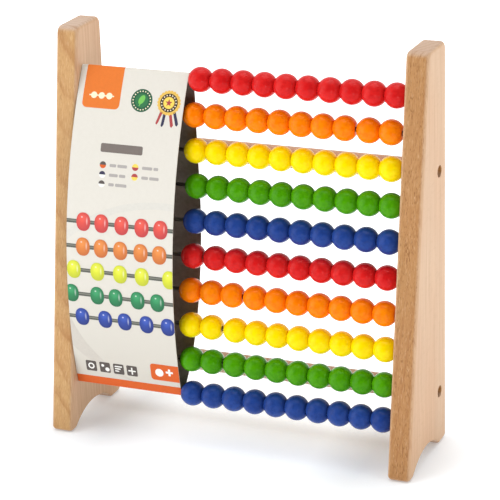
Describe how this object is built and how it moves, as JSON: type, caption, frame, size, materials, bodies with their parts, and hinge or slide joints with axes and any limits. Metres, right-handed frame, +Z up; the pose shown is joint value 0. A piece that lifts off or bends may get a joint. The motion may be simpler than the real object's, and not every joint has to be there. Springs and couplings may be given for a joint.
{
  "type": "bead-frame abacus",
  "caption": "Free-standing wooden bead frame with coloured beads that slide on steel rods, and a card display sleeve.",
  "frame": {"origin": "centre of the footprint, on the floor", "axes": "+X along the rods to the right as seen from the front, +Y to the back, +Z up"},
  "size_m": [0.282, 0.0854, 0.3],
  "materials": {
    "beech": "oiled, satin",
    "rod_steel": "drawn, bright",
    "screw_steel": "zinc plated",
    "printed_card": "printed, semi-matt",
    "red_lacquer": "satin lacquer",
    "orange_lacquer": "satin lacquer",
    "yellow_lacquer": "satin lacquer",
    "green_lacquer": "satin lacquer",
    "blue_lacquer": "satin lacquer"
  },
  "bodies": {
    "frame": {"left_side_board": "beech", "right_side_board": "beech", "upper_rail": "beech", "lower_rail": "beech", "rod_01": "rod_steel", "rod_02": "rod_steel", "rod_03": "rod_steel", "rod_04": "rod_steel", "rod_05": "rod_steel", "rod_06": "rod_steel", "rod_07": "rod_steel", "rod_08": "rod_steel", "rod_09": "rod_steel", "rod_10": "rod_steel", "upper_left_screw": "screw_steel", "upper_right_screw": "screw_steel", "lower_left_screw": "screw_steel", "lower_right_screw": "screw_steel", "display_sleeve": "printed_card"},
    "row_01_right_beads": {"row_01_red_beads_right": "red_lacquer"},
    "row_01_left_beads": {"row_01_red_beads_left": "red_lacquer"},
    "row_02_right_beads": {"row_02_orange_beads_right": "orange_lacquer"},
    "row_02_left_beads": {"row_02_orange_beads_left": "orange_lacquer"},
    "row_03_right_beads": {"row_03_yellow_beads_right": "yellow_lacquer"},
    "row_03_left_beads": {"row_03_yellow_beads_left": "yellow_lacquer"},
    "row_04_right_beads": {"row_04_green_beads_right": "green_lacquer"},
    "row_04_left_beads": {"row_04_green_beads_left": "green_lacquer"},
    "row_05_right_beads": {"row_05_blue_beads_right": "blue_lacquer"},
    "row_05_left_beads": {"row_05_blue_beads_left": "blue_lacquer"},
    "row_06_right_beads": {"row_06_red_beads_right": "red_lacquer"},
    "row_06_left_beads": {"row_06_red_beads_left": "red_lacquer"},
    "row_07_right_beads": {"row_07_orange_beads_right": "orange_lacquer"},
    "row_07_left_beads": {"row_07_orange_beads_left": "orange_lacquer"},
    "row_08_right_beads": {"row_08_yellow_beads_right": "yellow_lacquer"},
    "row_08_left_beads": {"row_08_yellow_beads_left": "yellow_lacquer"},
    "row_09_right_beads": {"row_09_green_beads_right": "green_lacquer"},
    "row_09_left_beads": {"row_09_green_beads_left": "green_lacquer"},
    "row_10_right_beads": {"row_10_blue_beads_right": "blue_lacquer"},
    "row_10_left_beads": {"row_10_blue_beads_left": "blue_lacquer"}
  },
  "joints": [
    {"name": "row_01_right_slide", "type": "slide", "parent": "frame", "child": "row_01_right_beads", "axis": [1, 0, 0], "range_m": [-0.0001, 0.00015]},
    {"name": "row_01_left_slide", "type": "slide", "parent": "row_01_right_beads", "child": "row_01_left_beads", "axis": [1, 0, 0], "range_m": [-0.0001, 0.00015]},
    {"name": "row_02_right_slide", "type": "slide", "parent": "frame", "child": "row_02_right_beads", "axis": [1, 0, 0], "range_m": [-0.04045, 0.0028]},
    {"name": "row_02_left_slide", "type": "slide", "parent": "row_02_right_beads", "child": "row_02_left_beads", "axis": [1, 0, 0], "range_m": [-0.04045, 0.0014]},
    {"name": "row_03_right_slide", "type": "slide", "parent": "frame", "child": "row_03_right_beads", "axis": [1, 0, 0], "range_m": [-0.04145, 0.0018]},
    {"name": "row_03_left_slide", "type": "slide", "parent": "row_03_right_beads", "child": "row_03_left_beads", "axis": [1, 0, 0], "range_m": [-0.04145, 0.0004]},
    {"name": "row_04_right_slide", "type": "slide", "parent": "frame", "child": "row_04_right_beads", "axis": [1, 0, 0], "range_m": [-0.04215, 0.0007]},
    {"name": "row_04_left_slide", "type": "slide", "parent": "row_04_right_beads", "child": "row_04_left_beads", "axis": [1, 0, 0], "range_m": [-0.04215, 0.00015]},
    {"name": "row_05_right_slide", "type": "slide", "parent": "frame", "child": "row_05_right_beads", "axis": [1, 0, 0], "range_m": [-0.0418, 0.0011]},
    {"name": "row_05_left_slide", "type": "slide", "parent": "row_05_right_beads", "child": "row_05_left_beads", "axis": [1, 0, 0], "range_m": [-0.0418, 0.0005]},
    {"name": "row_06_right_slide", "type": "slide", "parent": "frame", "child": "row_06_right_beads", "axis": [1, 0, 0], "range_m": [-0.0413, 0.0014]},
    {"name": "row_06_left_slide", "type": "slide", "parent": "row_06_right_beads", "child": "row_06_left_beads", "axis": [1, 0, 0], "range_m": [-0.0413, 0.0011]},
    {"name": "row_07_right_slide", "type": "slide", "parent": "frame", "child": "row_07_right_beads", "axis": [1, 0, 0], "range_m": [-0.0408, 0.0021]},
    {"name": "row_07_left_slide", "type": "slide", "parent": "row_07_right_beads", "child": "row_07_left_beads", "axis": [1, 0, 0], "range_m": [-0.0408, 0.0014]},
    {"name": "row_08_right_slide", "type": "slide", "parent": "frame", "child": "row_08_right_beads", "axis": [1, 0, 0], "range_m": [-0.0412, 0.0004]},
    {"name": "row_08_left_slide", "type": "slide", "parent": "row_08_right_beads", "child": "row_08_left_beads", "axis": [1, 0, 0], "range_m": [-0.0412, 0.0023]},
    {"name": "row_09_right_slide", "type": "slide", "parent": "frame", "child": "row_09_right_beads", "axis": [1, 0, 0], "range_m": [-0.04175, 0.00015]},
    {"name": "row_09_left_slide", "type": "slide", "parent": "row_09_right_beads", "child": "row_09_left_beads", "axis": [1, 0, 0], "range_m": [-0.04175, 0.0015]},
    {"name": "row_10_right_slide", "type": "slide", "parent": "frame", "child": "row_10_right_beads", "axis": [1, 0, 0], "range_m": [-0.0001, 0.00015]},
    {"name": "row_10_left_slide", "type": "slide", "parent": "row_10_right_beads", "child": "row_10_left_beads", "axis": [1, 0, 0], "range_m": [-0.0001, 0.00015]}
  ]
}
